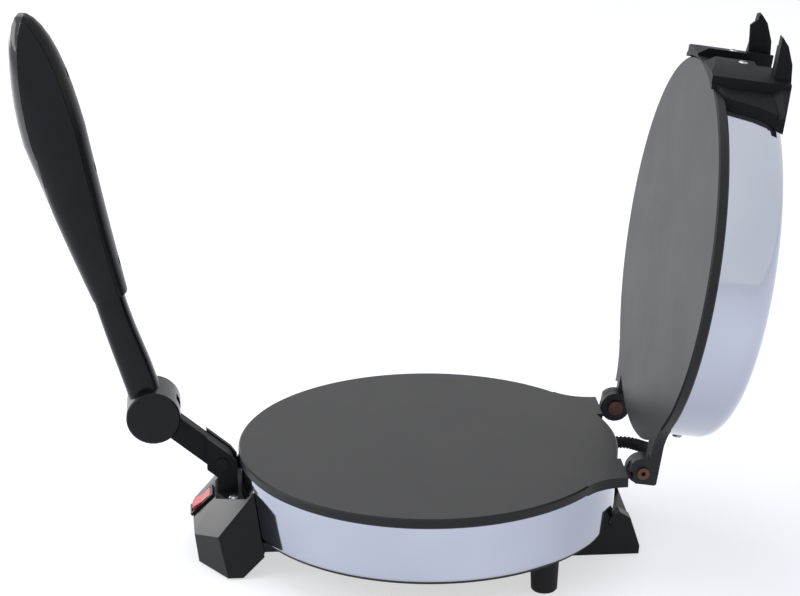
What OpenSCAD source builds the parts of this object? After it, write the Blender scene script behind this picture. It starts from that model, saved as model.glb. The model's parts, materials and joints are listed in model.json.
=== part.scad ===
// Electric roti maker: a round countertop cooker with two hotplates, a hinged lid and a press lever.
// Millimetres. The origin is the centre of the lower hotplate's cooking face, +Z is up.
// X runs along the lid hinge, the lever stands at -Y and the hinge at +Y.
// The rest pose has the lid open and the lever swung out to the front.

/* [Hotplates] */
// Radius of both hotplates
plate_r = 110; // [95:1:125]
// Thickness of each cast hotplate
plate_t = 6; // [5:0.5:8]
// Rounding chamfer on the hotplate rims
plate_chamfer = 0.9; // [0.3:0.1:1.5]
// Gap between the two cooking faces with the lid closed
plate_gap = 0.4; // [0.3:0.1:2]
// Distance of the heating element's ring in from the hotplate's rim
element_in = 48; // [38:1:56]
// Radius of the heating element's tube
element_tube_r = 3.4; // [2.5:0.1:4.5]
// Thickness of the insulation disc
insulation_t = 4; // [2:0.5:6]
// Sheet thickness of the heat shields
shield_t = 0.8; // [0.5:0.1:1.5]
// Distance of the heat shields' edge in from the hotplate's rim
shield_in = 21; // [19:1:24]

/* [Casing] */
// Step from the hotplate's rim in to the base's chrome shell
shell_step = 1.3; // [0.8:0.1:3]
// Step from the hotplate's rim in to the lid's chrome shell
lid_step = 4.8; // [1.3:0.1:6]
// Sheet thickness of the chrome shells
shell_wall = 0.8; // [0.5:0.1:1.5]
// Height of the lower chrome shell
base_shell_h = 32.8; // [30:0.5:40]
// Outer radius of the lower shell's bottom corner
base_corner_r = 2.5; // [1.5:0.5:4]
// Height of the lid from its cooking face to its top
lid_h = 39.8; // [34:0.5:46]
// Outer radius of the lid shell's top corner
lid_corner_r = 11.2; // [5:0.5:13]
// Sheet thickness of the bottom cover
cover_t = 1.4; // [1:0.1:2]
// Height of the cooking face above the table
stand_h = 59; // [56:0.5:64]

/* [Lid hinge] */
// Distance of the hinge axis behind the hotplate's rim
hinge_out = 6.8; // [6:0.2:12]
// Drop of the hinge axis below the cooking face
hinge_drop = 0.4; // [0:0.1:1]
// Angle from the closed lid to the open rest pose
lid_open_angle = 98.96; // [92:0.5:104]
// Radius of the hinge pins
hinge_pin_r = 2.9; // [2:0.1:3.5]
// Radius of the round ends of the lower hinge ears
ear_r = 8.8; // [7:0.2:9.5]
// Inner side of each lower hinge ear, from the middle plane
ear_x = 44.5; // [38:0.5:46]
// Thickness of each lower hinge ear
ear_t = 5; // [4:0.5:7]
// Thickness of each lid hinge lug
lug_t = 5.4; // [3.5:0.2:6]
// Outer edge of the hinge platforms, from the middle plane
platform_x = 61.5; // [58:0.5:66]
// Inner edge of the lower hinge platforms, from the middle plane
platform_in_x = 34; // [28:0.5:38]
// Distance of the platforms' rear edge in front of the hinge axis
platform_back = 9.3; // [9.3:0.1:11]
// Radius of the fillet between the hotplate's rim and a platform
platform_fillet = 30; // [15:1:34]

/* [Lever] */
// Distance of the lever strap's pivot in front of the hotplate's rim
pivot_out = 9.8; // [9:0.2:14]
// Drop of the lever strap's pivot below the cooking face
pivot_drop = 6.8; // [6:0.2:10]
// Length of the lever strap between its two pins
strap_len = 49.7; // [48:0.5:60]
// Angle of the strap above the table at rest
strap_rest_angle = 39.8; // [34:0.5:48]
// Half thickness of the strap across the lever
strap_half_t = 4.4; // [3:0.1:5]
// Half depth of the strap
strap_half_d = 6.6; // [5:0.1:7.5]
// Radius of the lever strap's pivot pin
pivot_pin_r = 2.5; // [2:0.1:3]
// Radius of the handle's boss pin
boss_pin_r = 4; // [3:0.1:5]
// Radius of the round boss at the foot of the handle
boss_r = 15.4; // [14:0.2:17]
// Half width of the boss, its caps included
boss_half_w = 15; // [13:0.5:17]
// Thickness of the boss caps
boss_cap_t = 1.6; // [1:0.1:2.5]
// Thickness of each cheek of the lever bracket
cheek_t = 3.8; // [3:0.1:4.5]

/* [Handle] */
// Lean of the handle to the front at rest, from upright
handle_lean = 15.6; // [8:0.2:22]
// Length of the handle from the boss pin to its tip
handle_len = 242.3; // [200:1:270]
// Distance from the boss pin to the start of the grip
grip_start = 74; // [66:1:90]
// Half depth of the grip at its fullest
grip_half_d = 18; // [14:0.5:20]
// Half width of the grip at its fullest
grip_half_w = 16; // [12:0.5:19]
// Half depth of the neck
neck_half_d = 8.7; // [7:0.1:10]
// Half width of the neck
neck_half_w = 9; // [8:0.1:12]
// Wall of the handle's moulded shells
handle_wall = 2.4; // [1.6:0.1:3.2]
// Depth of the glossy cap on the outer side of the grip
cap_depth = 5.6; // [4:0.2:7]
// Depth of the inner shell on the hotplate side of the grip
inner_depth = 5.2; // [4:0.2:7]

/* [Front housing] */
// Half width of the front housing
housing_half_w = 53.5; // [50:0.5:60]
// Distance of the housing's front face from the hotplate's rim, at its foot
foot_out = 24; // [21:0.5:28]
// Distance of the housing's front face from the hotplate's rim, at its shoulder
shoulder_out = 27; // [24:0.5:31]
// Distance of the housing's flat sides' front end from the hotplate's rim
side_out = 7.8; // [4:0.2:10]
// Wall of the front housing
housing_wall = 2.4; // [1.6:0.1:3]
// Drop of the switch slope's upper end below the cooking face
slope_drop = 26.3; // [25:0.2:27]
// Distance of the switch slope's upper end in front of the hotplate's rim
slope_out = 14; // [13.5:0.5:16]
// Steepness of the switch slope
slope_angle = 44.2; // [42:0.2:50]
// Half width of the flat switch slope
slope_half_w = 13; // [12:0.2:15]
// Fall of the housing's shoulders to the sides, per unit of width
shoulder_fall = 0.32; // [0.2:0.01:0.4]
// Lean of the housing's sides, inward per unit of height
side_lean = 0.35; // [0.2:0.01:0.38]

/* [Rocker switch] */
// Length of the switch bezel
bezel_l = 18; // [16.6:0.2:18.4]
// Width of the switch bezel
bezel_w = 14; // [13:0.2:16]
// Height of the switch bezel above the slope
bezel_t = 1.6; // [1:0.1:2.5]
// Half travel of the rocker to each side of level
rocker_tilt = 7; // [5:0.5:9]

/* [Lid bracket] */
// Reach of the two guide horns' tips beyond the hotplate's rim
horn_out = 26; // [20:0.5:32]
// Half distance between the outer faces of the horns
horn_out_x = 30; // [28:0.5:33]
// Thickness of each horn
horn_t = 6; // [4:0.5:7]
// Half width of the slot that takes the lever bracket
slot_half_w = 9.3; // [9:0.1:10]
// Distance of the bracket's front face from the hotplate's rim
bracket_out = 6.5; // [4.5:0.5:8]
// Thickness of the bracket's collar on the chrome shell
collar_t = 2.6; // [2:0.1:4]

/* [Feet] */
// Half width of the rear foot
rear_foot_half_w = 37; // [30:0.5:42]
// Radius of the side feet at the table
side_foot_r = 7.4; // [6:0.2:9]
// Distance of the side feet in from the hotplate's rim
side_foot_in = 12.5; // [11:0.5:20]
// Angle of the side feet behind the middle of each side
side_foot_turn = 36.9; // [30:0.1:44]

/* [Cable conduit] */
// Outer radius of the conduit's ribs
conduit_r = 3.7; // [3:0.1:4.5]
// Depth of the grooves between the ribs
rib_depth = 0.7; // [0.3:0.1:1]
// Number of ribs on the conduit
rib_count = 24; // [12:1:40]
// Radius of the conduit's bore
conduit_bore_r = 2.2; // [1.5:0.1:2.5]

/* [Fits] */
// Clearance between faces that pass each other
clear = 0.3; // [0.2:0.05:0.5]
// Radial clearance of a turning pin
pin_clear = 0.05; // [0.02:0.01:0.1]
// Radial clearance of a fixed pin or screw
fix_clear = 0.02; // [0.01:0.01:0.1]
// Radius of the M4 screws' shanks
screw_r = 2; // [1.5:0.1:2.5]
// Radius of the M4 screws' heads
screw_head_r = 3.6; // [3:0.1:4]
// Height of the M4 screws' heads
screw_head_h = 2.2; // [1.6:0.1:3]
// Radius of the small screws' shanks
small_screw_r = 1.45; // [1:0.05:1.8]
// Radius of the small screws' heads
small_head_r = 2.8; // [2.2:0.1:3.2]

/* [Hidden] */
$fn = 96;

big = 400;
eps = 0.01;
black = [0.1, 0.1, 0.11];
board = [0.86, 0.84, 0.78];
cast_grey = [0.24, 0.24, 0.25];
chrome = [0.78, 0.8, 0.85];
rubber = [0.08, 0.08, 0.08];
sheet = [0.7, 0.7, 0.7];
steel = [0.6, 0.6, 0.6];
tube_grey = [0.4, 0.38, 0.36];

// Distances from the hotplate's centre
hinge_y = plate_r + hinge_out;
pivot_front = plate_r + pivot_out;
housing_front = plate_r + foot_out;
housing_shoulder = plate_r + shoulder_out;
housing_side_front = plate_r + side_out;
slope_top_front = plate_r + slope_out;
horn_reach = plate_r + horn_out;
bracket_front = plate_r + bracket_out;
element_ring_r = plate_r - element_in;
shield_r = plate_r - shield_in;
insulation_r = shield_r - 5;
side_foot_x = (plate_r - side_foot_in) * cos(side_foot_turn);
side_foot_y = (plate_r - side_foot_in) * sin(side_foot_turn);

// Levels of the base, from the cooking face down
plate_low = -plate_t;
shell_r = plate_r - shell_step;
shell_in_r = shell_r - shell_wall;
base_shell_low = plate_low - base_shell_h;
cover_r = shell_r - 2.2;
cover_low = base_shell_low - cover_t;
table_z = -stand_h;

// Levels of the lid in the closed pose
lid_face = plate_gap;
lid_back = lid_face + plate_t;
lid_top = lid_face + lid_h;
pan_r = plate_r - lid_step;
pan_in_r = pan_r - shell_wall;

// Hinge
hinge_z = -hinge_drop;
platform_y = hinge_y - platform_back;
ear_out_x = ear_x + ear_t;
lug_x = ear_out_x + clear;
lug_out_x = lug_x + lug_t;
lug_back = 6.8;
lug_top = 2;
lug_below = 5.2;
lug_r = platform_back - 0.4;
rivet_r = hinge_pin_r + 0.6;
rivet_t = 1.2;
pin_head_r = 4.4;
pin_head_t = 2;

// Heating parts under a hotplate, as heights behind its back face
element_embed = 2.5;
element_h = element_tube_r - element_embed;
insulation_h = element_h + element_tube_r + 0.2;
shield_h = insulation_h + insulation_t + 0.1;
center_boss_r = 6;
stat_y = 32;
stat_r = 8.5;
stat_h = 6;
stat_hole_r = 12;

// Lever
pivot_y = -pivot_front;
pivot_z = -pivot_drop;
boss_y = pivot_y - strap_len * cos(strap_rest_angle);
boss_z = pivot_z + strap_len * sin(strap_rest_angle);
strap_turn = 90 - strap_rest_angle;
cheek_x = strap_half_t + 0.4;
cheek_out_x = cheek_x + cheek_t;
boss_slot_r = strap_half_d + 5.6;
strap_eye_r = boss_slot_r - 2.4;
cap_x = boss_half_w - boss_cap_t;

// Front housing
housing_back = plate_r - 5;
housing_top = plate_low - 1;
band_gap_r = shell_r + clear;
trough_low = -slope_drop;
housing_low = table_z + 1;
front_pad_t = 1.6;
housing_cover_t = 2;
shoulder_rise = tan(slope_angle);
front_corner_x = housing_half_w - 26;

// Rocker switch
bezel_mid = 9.9;
rocker_half_l = bezel_l / 2 - 2.3;
rocker_half_w = 5.2;
rocker_pivot_depth = 3.4;
switch_depth = 12;

// Lid bracket
bracket_low = -1.2;
drum_clear_z = pivot_z + strap_len - boss_r - 0.9;
bracket_half_w = 35;
bracket_top = 43.4;
rim_r = plate_r - 22;
rim_mid_y = rim_r - bracket_front + 0.5;
bracket_screw_x = 13;
bracket_screw_z = 19.5;
bracket_seat_y = bracket_front - 2;

// Cable conduit: where it leaves the base's and the closed lid's rear walls
conduit_base_x = -18;
conduit_base_z = -12.4;
conduit_lid_z = 16.5;
conduit_lid_x = 5;

// Places children on the rear of a round wall, with +Z square out of it
module at_wall(x, r, z) {
    rotate([0, 0, -asin(x / r)])
        translate([0, r, z])
            rotate([-90, 0, 0])
                children();
}

// Places children where the open lid is
module open_lid() {
    translate([0, hinge_y, hinge_z])
        rotate([-lid_open_angle, 0, 0])
            translate([0, -hinge_y, -hinge_z])
                children();
}

// Both sides of the middle plane
module both() {
    children();
    mirror([1, 0, 0])
        children();
}

// A cylinder along X between two distances from the middle plane
module x_rod(x0, x1, r) {
    translate([x0, 0, 0])
        rotate([0, 90, 0])
            cylinder(r = r, h = x1 - x0);
}

// A profile drawn in Y and Z, extruded along X between two distances
module x_slab(x0, x1) {
    translate([x0, 0, 0])
        rotate([90, 0, 90])
            linear_extrude(height = x1 - x0)
                children();
}

// Pan-head screw with its seat at z = 0, its shank downwards and a cross recess
module screw(r, head_r, head_h, len) {
    recess = r * 0.45;
    difference() {
        union() {
            cylinder(r = head_r, h = head_h * 0.6);
            translate([0, 0, head_h * 0.6 - eps])
                cylinder(r1 = head_r, r2 = head_r * 0.62, h = head_h * 0.4 + eps);
            translate([0, 0, -len])
                cylinder(r = r, h = len + eps);
        }
        for (turn = [0, 90])
            rotate([0, 0, turn])
                translate([-head_r * 0.6, -recess / 2, head_h * 0.5])
                    cube([head_r * 1.2, recess, head_h]);
    }
}

// Hotplates

cover_screw_r = plate_r - 12;
cover_screw_angles = [0, 60, 120, 180];
front_screw_x = 32;
front_screw_y = 18 - plate_r;
post_r = 5;
base_post_h = plate_low - (base_shell_low);

module at_cover_screws() {
    for (a = cover_screw_angles)
        rotate([0, 0, a])
            translate([cover_screw_r, 0, 0])
                children();
}

module at_front_screws() {
    for (side = [-1, 1])
        translate([side * front_screw_x, front_screw_y, 0])
            children();
}

// Plan of one hinge platform with its fillet to the rim
module platform_plan(inner_x, back_y) {
    fillet_x = platform_x + platform_fillet;
    fillet_y = sqrt(pow(plate_r + platform_fillet, 2) - pow(fillet_x, 2));
    touch = plate_r / (plate_r + platform_fillet);
    difference() {
        polygon([[inner_x, plate_r * 0.6], [inner_x, back_y], [platform_x, back_y],
            [platform_x, fillet_y], [fillet_x * touch, fillet_y * touch],
            [fillet_x * touch - 20, plate_r * 0.6]]);
        translate([fillet_x, fillet_y])
            circle(r = platform_fillet);
    }
}

// Round slab of a hotplate with chamfered rims, from z = 0 up
module plate_disc() {
    c = plate_chamfer;
    rotate_extrude()
        polygon([[0, 0], [plate_r - c, 0], [plate_r, c], [plate_r, plate_t - c],
            [plate_r - c, plate_t], [0, plate_t]]);
}

// Groove for the element in a hotplate's back at z = 0, the casting below
module element_groove() {
    translate([0, 0, element_h])
        rotate_extrude()
            translate([element_ring_r, 0])
                circle(r = element_tube_r + 0.1);
}

// Central boss and its tapped hole on a hotplate's back at z = 0
module center_boss() {
    difference() {
        translate([0, 0, -eps])
            cylinder(r = center_boss_r, h = shield_h + eps);
        translate([0, 0, shield_h - 7])
            cylinder(r = screw_r + fix_clear, h = 8);
    }
}

module lower_plate() {
    color(cast_grey)
        difference() {
            union() {
                translate([0, 0, plate_low])
                    plate_disc();
                both()
                    translate([0, 0, plate_low])
                        linear_extrude(height = plate_t)
                            platform_plan(platform_in_x, platform_y);
                both()
                    hinge_ear();
                at_cover_screws()
                    translate([0, 0, base_shell_low])
                        cylinder(r = post_r, h = base_post_h + eps);
                at_front_screws()
                    translate([0, 0, base_shell_low])
                        cylinder(r = post_r, h = base_post_h + eps);
                translate([0, 0, plate_low])
                    mirror([0, 0, 1])
                        center_boss();
            }
            translate([0, 0, plate_low])
                mirror([0, 0, 1])
                    element_groove();
            translate([0, 0, plate_low])
                mirror([0, 0, 1])
                    translate([0, 0, shield_h - 7])
                        cylinder(r = screw_r + fix_clear, h = 8);
            at_cover_screws()
                translate([0, 0, base_shell_low - 1])
                    cylinder(r = screw_r + fix_clear, h = 13);
            at_front_screws()
                translate([0, 0, base_shell_low - 1])
                    cylinder(r = screw_r + fix_clear, h = 13);
            both()
                translate([0, hinge_y, hinge_z])
                    x_rod(ear_x - 1, ear_out_x + 1, hinge_pin_r + fix_clear);
        }
}

// Upright ear of the lower hotplate's hinge
module hinge_ear() {
    translate([0, hinge_y, hinge_z])
        x_rod(ear_x, ear_out_x, ear_r);
    translate([ear_x, platform_y - 2, plate_low])
        cube([ear_t, platform_back + 2, plate_t]);
}

// Lid posts that the bracket and pan screws enter, in the closed pose
lid_post_h = 20;
lid_screw_x = 30;
lid_screw_z = 21;

module lid_post(x, side) {
    intersection() {
        translate([x - post_r, side > 0 ? plate_r - 18 : -plate_r, lid_back - eps])
            cube([2 * post_r, 18, lid_post_h]);
        translate([0, 0, lid_back - 1])
            cylinder(r = pan_in_r - clear, h = lid_post_h + 2);
    }
}

module upper_plate() {
    color(cast_grey)
        open_lid()
            difference() {
                union() {
                    translate([0, 0, lid_face])
                        plate_disc();
                    both()
                        translate([0, 0, lid_face])
                            linear_extrude(height = plate_t)
                                platform_plan(lug_x, platform_y - 3);
                    both()
                        hinge_lug();
                    translate([0, 0, lid_back])
                        center_boss();
                    both()
                        lid_post(bracket_screw_x, -1);
                    both()
                        rotate([0, 0, -asin(lid_screw_x / pan_r)])
                            lid_post(0, 1);
                }
                translate([0, 0, lid_back])
                    element_groove();
                translate([0, 0, lid_back + shield_h - 7])
                    cylinder(r = screw_r + fix_clear, h = 8);
                both()
                    translate([bracket_screw_x, -plate_r + 16, bracket_screw_z])
                        rotate([90, 0, 0])
                            cylinder(r = small_screw_r + fix_clear, h = 20);
                both()
                    at_wall(lid_screw_x, pan_r, lid_screw_z)
                        cylinder(r = small_screw_r + fix_clear, h = 24, center = true);
                both()
                    translate([0, hinge_y, hinge_z])
                        x_rod(lug_x - 1, lug_out_x + 1, hinge_pin_r + pin_clear);
            }
}

// Hinge lug of the lid, in the closed pose
module hinge_lug() {
    back = hinge_y + lug_back;
    top = lid_back + lug_top;
    low = hinge_z - lug_below;
    x_slab(lug_x, lug_out_x) {
        intersection() {
            translate([hinge_y, hinge_z])
                circle(r = lug_r);
            translate([platform_y, hinge_z - lug_r + 1.6])
                square([platform_back, 2 * lug_r]);
        }
        polygon([[platform_y - 12, lid_face], [platform_y - 10, top], [back - 1, top],
            [back, top - 1], [back, low + 2], [back - 2, low], [hinge_y - 1, low],
            [hinge_y - 1, lid_face]]);
    }
}

// Chrome shells

module base_shell() {
    color(chrome)
        difference() {
            rotate_extrude()
                difference() {
                    translate([base_shell_flange_r, base_shell_low])
                        square([shell_r - base_shell_flange_r, base_shell_h]);
                    translate([base_shell_flange_r - 1, base_shell_low + shell_wall])
                        square([shell_in_r - base_shell_flange_r + 1, base_shell_h]);
                    corner_cut(shell_r, base_shell_low, base_corner_r);
                }
            translate([-wire_pass_half_w, -shell_r - 5, wire_pass_low])
                cube([2 * wire_pass_half_w, 10, wire_pass_h]);
            at_wall(conduit_base_x, shell_r, conduit_base_z)
                cylinder(r = grommet_r, h = 20, center = true);
        }
}

base_shell_flange_r = cover_screw_r + post_r + clear;
wire_pass_half_w = 9;
wire_pass_low = base_shell_low + 4;
wire_pass_h = 5.4;
grommet_r = conduit_r + 1;

// Square corner outside a quarter round, for cutting off a shell's outer edge below
module corner_cut(r, low, corner) {
    difference() {
        translate([r - corner, low - 1])
            square([corner + 1, corner + 1]);
        translate([r - corner, low + corner])
            circle(r = corner);
    }
}

module lid_pan() {
    color(chrome)
        open_lid()
            difference() {
                rotate_extrude()
                    difference() {
                        translate([0, lid_back])
                            square([pan_r, lid_top - lid_back]);
                        pan_hollow();
                        translate([0, lid_top + lid_back])
                            mirror([0, 1])
                                corner_cut(pan_r, lid_back, lid_corner_r);
                    }
                both()
                    translate([bracket_screw_x, -pan_r + 6, bracket_screw_z])
                        rotate([90, 0, 0])
                            cylinder(r = small_screw_r + clear, h = 20);
                both()
                    at_wall(lid_screw_x, pan_r, lid_screw_z)
                        cylinder(r = small_screw_r + clear, h = 10, center = true);
                at_wall(conduit_lid_x, pan_r, conduit_lid_z)
                    cylinder(r = grommet_r, h = 20, center = true);
            }
}

// Inside of the lid's shell as a half profile
module pan_hollow() {
    inner_corner = lid_corner_r - shell_wall;
    difference() {
        translate([-1, lid_back - 1])
            square([pan_in_r + 1, lid_top - shell_wall - lid_back + 1]);
        translate([0, 2 * (lid_top - shell_wall)])
            mirror([0, 1])
                corner_cut(pan_in_r, lid_top - shell_wall, inner_corner);
    }
}

module bottom_cover() {
    slots = 12;
    color(black)
        difference() {
            translate([0, 0, cover_low])
                cylinder(r = cover_r, h = cover_t);
            at_cover_screws()
                translate([0, 0, cover_low - 1])
                    cylinder(r = screw_r + clear, h = cover_t + 2);
            at_front_screws()
                translate([0, 0, cover_low - 1])
                    cylinder(r = screw_r + clear, h = cover_t + 2);
            both()
                translate([side_foot_x, side_foot_y, cover_low - 1])
                    cylinder(r = small_screw_r + fix_clear, h = cover_t + 2);
            both()
                translate([rear_screw_x, rear_screw_y, cover_low - 1])
                    cylinder(r = small_screw_r + fix_clear, h = cover_t + 2);
            for (i = [0 : slots - 1])
                rotate([0, 0, i * 360 / slots + 15])
                    translate([48, -1.6, cover_low - 1])
                        cube([24, 3.2, cover_t + 2]);
        }
}

// Heating parts, drawn with the hotplate's back at z = 0 and rising from it

element_gap_angle = 24;
element_pin_h = 8;

module element_shape() {
    sweep = 360 - element_gap_angle;
    pin_r = 1.6;
    translate([0, 0, element_h]) {
        rotate([0, 0, -90 + element_gap_angle / 2])
            rotate_extrude(angle = sweep)
                translate([element_ring_r, 0])
                    circle(r = element_tube_r);
        for (side = [-1, 1])
            rotate([0, 0, -90 + side * (element_gap_angle / 2)])
                translate([element_ring_r, 0, 0])
                    rotate([side * 90, 0, 0])
                        cylinder(r = pin_r, h = 6);
        for (side = [-1, 1])
            rotate([0, 0, -90 + side * (element_gap_angle / 2)])
                translate([element_ring_r, -side * 5, 0])
                    cylinder(r = pin_r, h = element_pin_h + shield_h);
    }
}

module insulation_shape() {
    difference() {
        translate([0, 0, insulation_h])
            cylinder(r = insulation_r, h = insulation_t);
        heater_holes(insulation_h - 1, insulation_t + 2, center_boss_r + clear);
    }
}

module heater_holes(z, h, boss_hole_r) {
    translate([0, 0, z])
        cylinder(r = boss_hole_r, h = h);
    translate([0, stat_y, z])
        cylinder(r = stat_hole_r, h = h);
    translate([-16, -element_ring_r - 6, z])
        cube([32, 12, h]);
}

module shield_shape() {
    difference() {
        rotate_extrude()
            polygon([[0, shield_h], [shield_r - shield_t, shield_h], [shield_r - shield_t, 0.1],
                [shield_r, 0.1], [shield_r, shield_h + shield_t], [0, shield_h + shield_t]]);
        heater_holes(shield_h - 1, shield_t + 2, screw_r + clear);
    }
}

module shield_screw_shape() {
    translate([0, 0, shield_h + shield_t])
        screw(screw_r, screw_head_r + 1.4, screw_head_h, 6.5);
}

module under_plate() {
    translate([0, 0, plate_low])
        mirror([0, 0, 1])
            children();
}

module behind_lid_plate() {
    open_lid()
        translate([0, 0, lid_back])
            children();
}

module lower_element() {
    color(tube_grey)
        under_plate()
            element_shape();
}

module lower_insulation() {
    color(board)
        under_plate()
            insulation_shape();
}

module lower_heat_shield() {
    color(sheet)
        under_plate()
            shield_shape();
}

module lower_shield_screw() {
    color(steel)
        under_plate()
            shield_screw_shape();
}

module upper_element() {
    color(tube_grey)
        behind_lid_plate()
            element_shape();
}

module upper_insulation() {
    color(board)
        behind_lid_plate()
            insulation_shape();
}

module upper_heat_shield() {
    color(sheet)
        behind_lid_plate()
            shield_shape();
}

module upper_shield_screw() {
    color(steel)
        behind_lid_plate()
            shield_screw_shape();
}

// Disc thermostat pressed on the lower hotplate's back, with two blade terminals
module thermostat() {
    color([0.75, 0.73, 0.7])
        under_plate()
            translate([0, stat_y, 0]) {
                cylinder(r = stat_r, h = stat_h);
                translate([0, 0, stat_h - eps])
                    cylinder(r = stat_r - 2, h = 5);
                for (side = [-1, 1])
                    translate([side * 3.5 - 0.4, -2.5, stat_h + 4])
                        cube([0.8, 5, 9]);
            }
}

// Thermal fuse with its clip on the lower heat shield
module thermal_fuse() {
    fuse_r = 2;
    color([0.85, 0.8, 0.6])
        under_plate()
            translate([30, 0, shield_h + shield_t]) {
                translate([0, 0, fuse_r])
                    rotate([0, 90, 0])
                        cylinder(r = fuse_r, h = 12, center = true);
                translate([-3, -4.5, 0])
                    cube([6, 9, 0.8]);
                for (side = [-1, 1])
                    translate([side * 9, 0, fuse_r])
                        rotate([0, 90, 0])
                            cylinder(r = 0.5, h = 8, center = true);
            }
}

// Screws that hold the bottom cover to the lower hotplate's posts
module cover_screws() {
    color(steel)
        at_cover_screws()
            translate([0, 0, cover_low])
                mirror([0, 0, 1])
                    screw(screw_r, screw_head_r, screw_head_h, 11);
}

// Front housing

// Half space above a shoulder, moved in by an inset along its normal
module shoulder_half_space(inset) {
    nx = shoulder_fall;
    ny = -shoulder_rise;
    n_len = sqrt(nx * nx + ny * ny + 1);
    tilt = acos(1 / n_len);
    turn = atan2(ny, nx);
    translate([slope_half_w, -slope_top_front, trough_low])
        rotate([0, tilt, 0] + [0, 0, turn])
            translate([-big / 2, -big / 2, -inset])
                cube(big);
}

// Half space beyond a leaning side, moved in by an inset along its normal
module side_half_space(inset) {
    translate([housing_half_w, 0, table_z])
        rotate([0, 90 - atan(side_lean), 0])
            translate([-big / 2, -big / 2, -inset])
                cube(big);
}

// Outer shape of the housing, every face moved in by an inset
module housing_shape(inset) {
    w = housing_half_w - inset;
    side = housing_side_front;
    top = housing_top - inset;
    low = table_z - 1;
    corner_x = front_corner_x - (housing_shoulder - housing_front) * 0.96;
    slope_inset = inset / cos(slope_angle);
    difference() {
        intersection() {
            translate([0, 0, low])
                linear_extrude(height = stand_h)
                    polygon([[w, -housing_back + inset + 20], [w, -side + inset * 0.4],
                        [corner_x - inset * 0.4, -housing_shoulder + inset],
                        [-corner_x + inset * 0.4, -housing_shoulder + inset],
                        [-w, -side + inset * 0.4], [-w, -housing_back + inset + 20]]);
            x_slab(-big / 2, big / 2)
                polygon([[-housing_front + inset, low],
                    [-housing_shoulder + inset, slope_z(-housing_shoulder) - slope_inset],
                    [slope_y(top + slope_inset), top], [0, top], [0, low]]);
        }
        both()
            shoulder_half_space(inset);
        both()
            side_half_space(inset);
        translate([0, 0, trough_low - inset])
            linear_extrude(height = big)
                trough_plan(inset);
        translate([0, 0, low - 1])
            cylinder(r = band_gap_r + inset, h = big);
    }
}

// Height of the switch slope at a place, and the place of a height
function slope_z(y) = trough_low + (y + slope_top_front) * tan(slope_angle);
function slope_y(z) = -slope_top_front + (z - trough_low) / tan(slope_angle);

// Plan of the trough that the lever bracket stands in
module trough_plan(inset) {
    near = slope_half_w + inset;
    far = trough_far_w + inset;
    polygon([[near, -slope_top_front - inset], [far, -trough_far], [far, 0], [-far, 0],
        [-far, -trough_far], [-near, -slope_top_front - inset]]);
}

trough_far = plate_r - 3;
trough_far_w = 36;
tongue_low = cover_low - 6;
tongue_half_w = housing_half_w - 8.5;
tongue_back = plate_r - 26;
skirt_x = housing_half_w;
skirt_r = shell_r + 6;

module front_housing() {
    color(black)
        difference() {
            union() {
                housing_shape(0);
                housing_skirt();
                housing_tongue();
                gland_box(gland_box_half, 0);
            }
            gland_box(gland_box_half - 2.2, housing_wall);
            x_slab(-big / 2, big / 2)
                polygon([[bevel_y, table_z - 1], [bevel_y, housing_low],
                    [bevel_y + bevel_run, tongue_low], [0, tongue_low], [0, table_z - 1]]);
            difference() {
                translate([0, 0, -eps])
                    housing_shape(housing_wall);
                translate([-big / 2, -housing_back, table_z])
                    cube([big, big, big]);
            }
            translate([-big / 2, -big / 2, housing_low - big])
                cube([big, big, big]);
            translate([-wire_pass_half_w, -band_gap_r - 10, wire_pass_low])
                cube([2 * wire_pass_half_w, 14, wire_pass_h]);
            at_switch()
                translate([-bezel_w / 2 + 1, -bezel_l / 2 + 1, -10])
                    cube([bezel_w - 2, bezel_l - 2, 20]);
            translate([-housing_half_w - 1, gland_y, gland_z])
                rotate([0, 90, 0])
                    cylinder(r = gland_neck_r + fix_clear, h = housing_wall + 2);
            at_front_screws()
                translate([0, 0, tongue_low - 1])
                    cylinder(r = screw_r + clear, h = 20);
            at_bracket_base_screws()
                translate([0, 0, trough_low - 10])
                    cylinder(r = small_screw_r + fix_clear, h = 20);
            at_housing_screws()
                translate([0, 0, housing_low - 1])
                    cylinder(r = small_screw_r + fix_clear, h = 12);
        }
    color(black)
        housing_posts();
}

gland_y = -plate_r - 1;
gland_z = -36;
gland_neck_r = 5.2;
gland_box_half = 8.8;
bevel_y = -housing_back - 4.4;
bevel_run = 13.4;
housing_screw_x = housing_half_w - 7.5;
housing_screw_y = -plate_r - 2.6;

// Box on the far side with an upright wall for the gland
module gland_box(half, inset) {
    translate([-housing_half_w + inset, gland_y - half, gland_z - half])
        cube([12, 2 * half, 2 * half]);
}

module at_housing_screws() {
    for (side = [-1, 1])
        translate([side * housing_screw_x, housing_screw_y, 0])
            children();
}

// Screw posts inside the housing that its bottom cover is fixed to
module housing_posts() {
    difference() {
        intersection() {
            both()
                translate([housing_screw_x, housing_screw_y, housing_low + housing_cover_t]) {
                    cylinder(r = 3.6, h = 9.5);
                    translate([0, -1, 0])
                        cube([10, 2, 9.5]);
                }
            housing_shape(housing_wall / 2);
        }
        at_housing_screws()
            translate([0, 0, housing_low - 1])
                cylinder(r = small_screw_r + fix_clear, h = 12);
    }
}

// Collar of the housing that follows the chrome shell
module housing_skirt() {
    skirt_h = housing_top - tongue_low;
    intersection() {
        difference() {
            translate([0, 0, tongue_low])
                cylinder(r = skirt_r, h = skirt_h);
            translate([0, 0, tongue_low - 1])
                cylinder(r = band_gap_r, h = skirt_h + 2);
        }
        translate([-skirt_x, -shell_r - 10, tongue_low])
            cube([2 * skirt_x, 30, skirt_h]);
        difference() {
            translate([-big / 2, -big, -big / 2])
                cube([big, big, big]);
            both()
                shoulder_half_space(0);
            both()
                side_half_space(0);
            translate([0, 0, trough_low])
                linear_extrude(height = big)
                    trough_plan(0);
        }
    }
}

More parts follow.
